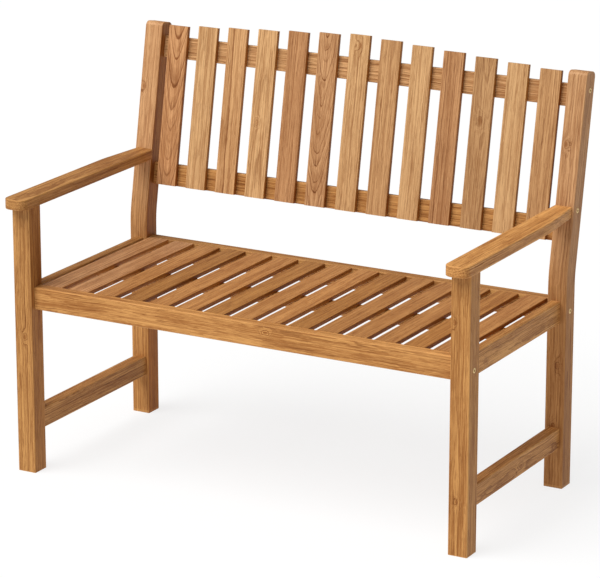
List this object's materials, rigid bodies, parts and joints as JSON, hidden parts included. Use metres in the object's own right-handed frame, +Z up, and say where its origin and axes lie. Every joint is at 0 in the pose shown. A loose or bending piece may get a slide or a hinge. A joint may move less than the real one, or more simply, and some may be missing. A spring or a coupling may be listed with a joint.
{
  "type": "garden bench",
  "caption": "Two-seat wooden garden bench with a slatted seat, armrests and a raked back of vertical slats whose tops form a shallow arch.",
  "frame": {"origin": "on the floor, under the middle of the bench's overall box", "axes": "+X along the bench to the sitter's left, +Y from the front to the back, +Z up"},
  "size_m": [1.135, 0.6358, 0.9512],
  "materials": {
    "frame_wood": "oiled hardwood, satin",
    "rail_wood": "oiled hardwood, satin",
    "seat_slat_wood": "oiled hardwood, satin",
    "back_slat_wood": "oiled hardwood, satin",
    "dowel_wood": "plain beech",
    "bolt_metal": "yellow zinc plated, satin",
    "nut_metal": "yellow zinc plated, satin",
    "screw_metal": "yellow zinc plated, satin"
  },
  "bodies": {
    "root": {"front_leg_left": "frame_wood", "front_leg_right": "frame_wood", "rear_post_left": "frame_wood", "rear_post_right": "frame_wood", "seat_side_rail_left": "frame_wood", "seat_side_rail_right": "frame_wood", "side_stretcher_left": "frame_wood", "side_stretcher_right": "frame_wood", "armrest_left": "frame_wood", "armrest_right": "frame_wood", "seat_front_rail": "rail_wood", "seat_rear_rail": "rail_wood", "seat_middle_bearer": "rail_wood", "back_top_rail": "rail_wood", "back_bottom_rail": "rail_wood", "seat_slat_01": "seat_slat_wood", "seat_slat_02": "seat_slat_wood", "seat_slat_03": "seat_slat_wood", "seat_slat_04": "seat_slat_wood", "seat_slat_05": "seat_slat_wood", "seat_slat_06": "seat_slat_wood", "seat_slat_07": "seat_slat_wood", "seat_slat_08": "seat_slat_wood", "seat_slat_09": "seat_slat_wood", "seat_slat_10": "seat_slat_wood", "seat_slat_11": "seat_slat_wood", "seat_slat_12": "seat_slat_wood", "seat_slat_13": "seat_slat_wood", "seat_slat_14": "seat_slat_wood", "seat_slat_15": "seat_slat_wood", "back_slat_01": "back_slat_wood", "back_slat_02": "back_slat_wood", "back_slat_03": "back_slat_wood", "back_slat_04": "back_slat_wood", "back_slat_05": "back_slat_wood", "back_slat_06": "back_slat_wood", "back_slat_07": "back_slat_wood", "back_slat_08": "back_slat_wood", "back_slat_09": "back_slat_wood", "back_slat_10": "back_slat_wood", "back_slat_11": "back_slat_wood", "back_slat_12": "back_slat_wood", "back_slat_13": "back_slat_wood", "side_frame_dowels": "dowel_wood", "rail_dowels": "dowel_wood", "armrest_dowels": "dowel_wood", "bearer_dowels": "dowel_wood", "frame_bolts": "bolt_metal", "armrest_bolts": "bolt_metal", "barrel_nuts": "nut_metal", "seat_slat_screws": "screw_metal", "back_slat_screws": "screw_metal"}
  },
  "joints": []
}
